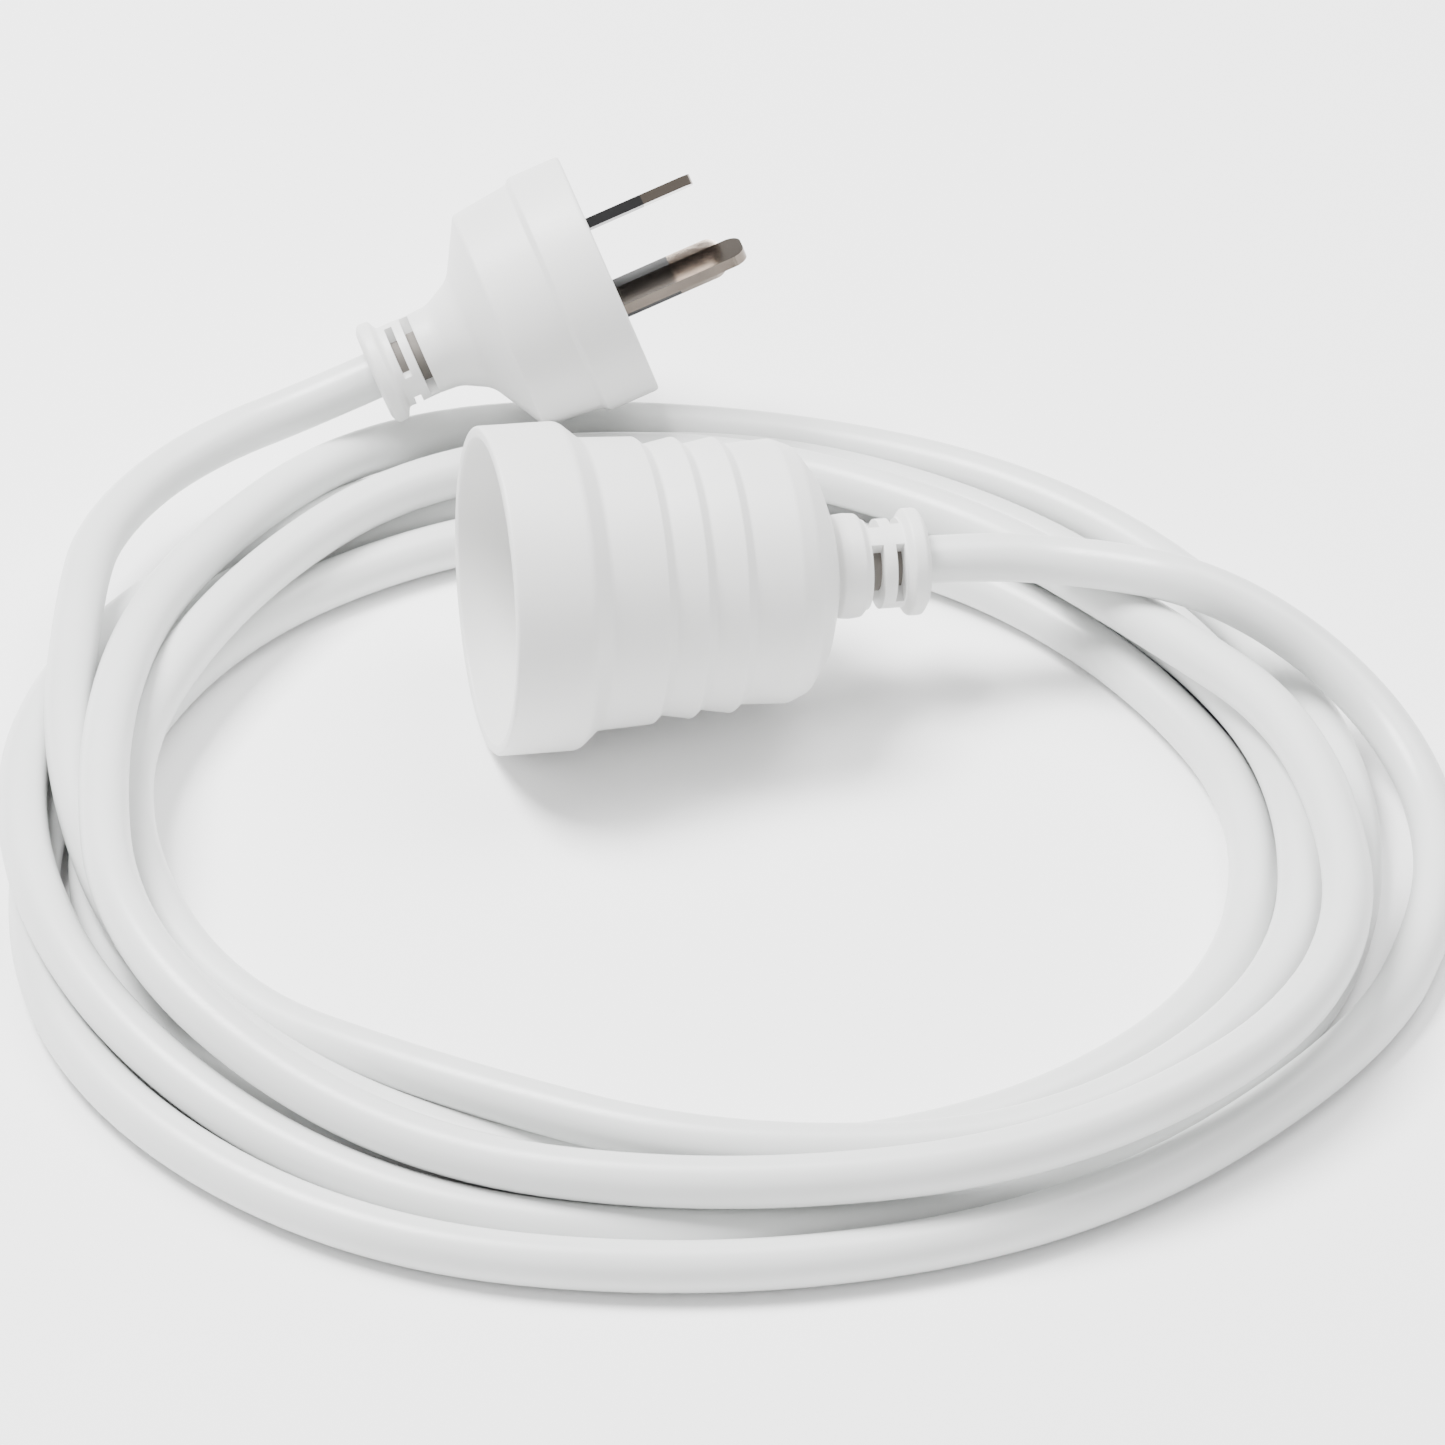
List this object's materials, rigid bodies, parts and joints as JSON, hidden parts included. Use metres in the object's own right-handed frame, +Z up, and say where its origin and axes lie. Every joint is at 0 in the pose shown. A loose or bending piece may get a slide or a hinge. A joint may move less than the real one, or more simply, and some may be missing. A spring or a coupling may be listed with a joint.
{
  "type": "extension cord",
  "caption": "White household extension cord in a loose coil: moulded flat-pin plug, shrouded socket, round flex and slotted strain reliefs.",
  "frame": {"origin": "on the surface the cord lies on, under the middle of the whole coiled cord with its plug", "axes": "+Z up; +X to the right of someone in front; the plug and socket are at the back (+Y)"},
  "size_m": [0.2085, 0.2199, 0.05],
  "materials": {
    "white_sheath": "satin",
    "white_moulding": "satin",
    "white_rigid": "matte",
    "black_sleeve": "gloss",
    "nickel_pin": "nickel plated",
    "brass_contact": "plain",
    "copper_strand": "plain copper",
    "brown_core": "matte",
    "blue_core": "matte",
    "green_yellow_core": "matte, striped"
  },
  "bodies": {
    "cord": {"coil": "white_sheath", "plug_active_conductor": "copper_strand", "plug_active_core": "brown_core", "plug_active_pin": "nickel_pin", "plug_active_sleeve": "black_sleeve", "plug_bridge": "white_rigid", "plug_earth_conductor": "copper_strand", "plug_earth_core": "green_yellow_core", "plug_earth_pin": "nickel_pin", "plug_lead": "white_sheath", "plug_moulding": "white_moulding", "plug_neutral_conductor": "copper_strand", "plug_neutral_core": "blue_core", "plug_neutral_pin": "nickel_pin", "plug_neutral_sleeve": "black_sleeve", "plug_sheath_end": "white_sheath", "plug_strain_relief": "white_moulding", "socket_active_conductor": "copper_strand", "socket_active_contact": "brass_contact", "socket_active_core": "brown_core", "socket_contact_carrier": "white_rigid", "socket_earth_conductor": "copper_strand", "socket_earth_contact": "brass_contact", "socket_earth_core": "green_yellow_core", "socket_face_insert": "white_rigid", "socket_lead": "white_sheath", "socket_moulding": "white_moulding", "socket_neutral_conductor": "copper_strand", "socket_neutral_contact": "brass_contact", "socket_neutral_core": "blue_core", "socket_sheath_end": "white_sheath", "socket_strain_relief": "white_moulding"}
  },
  "joints": []
}
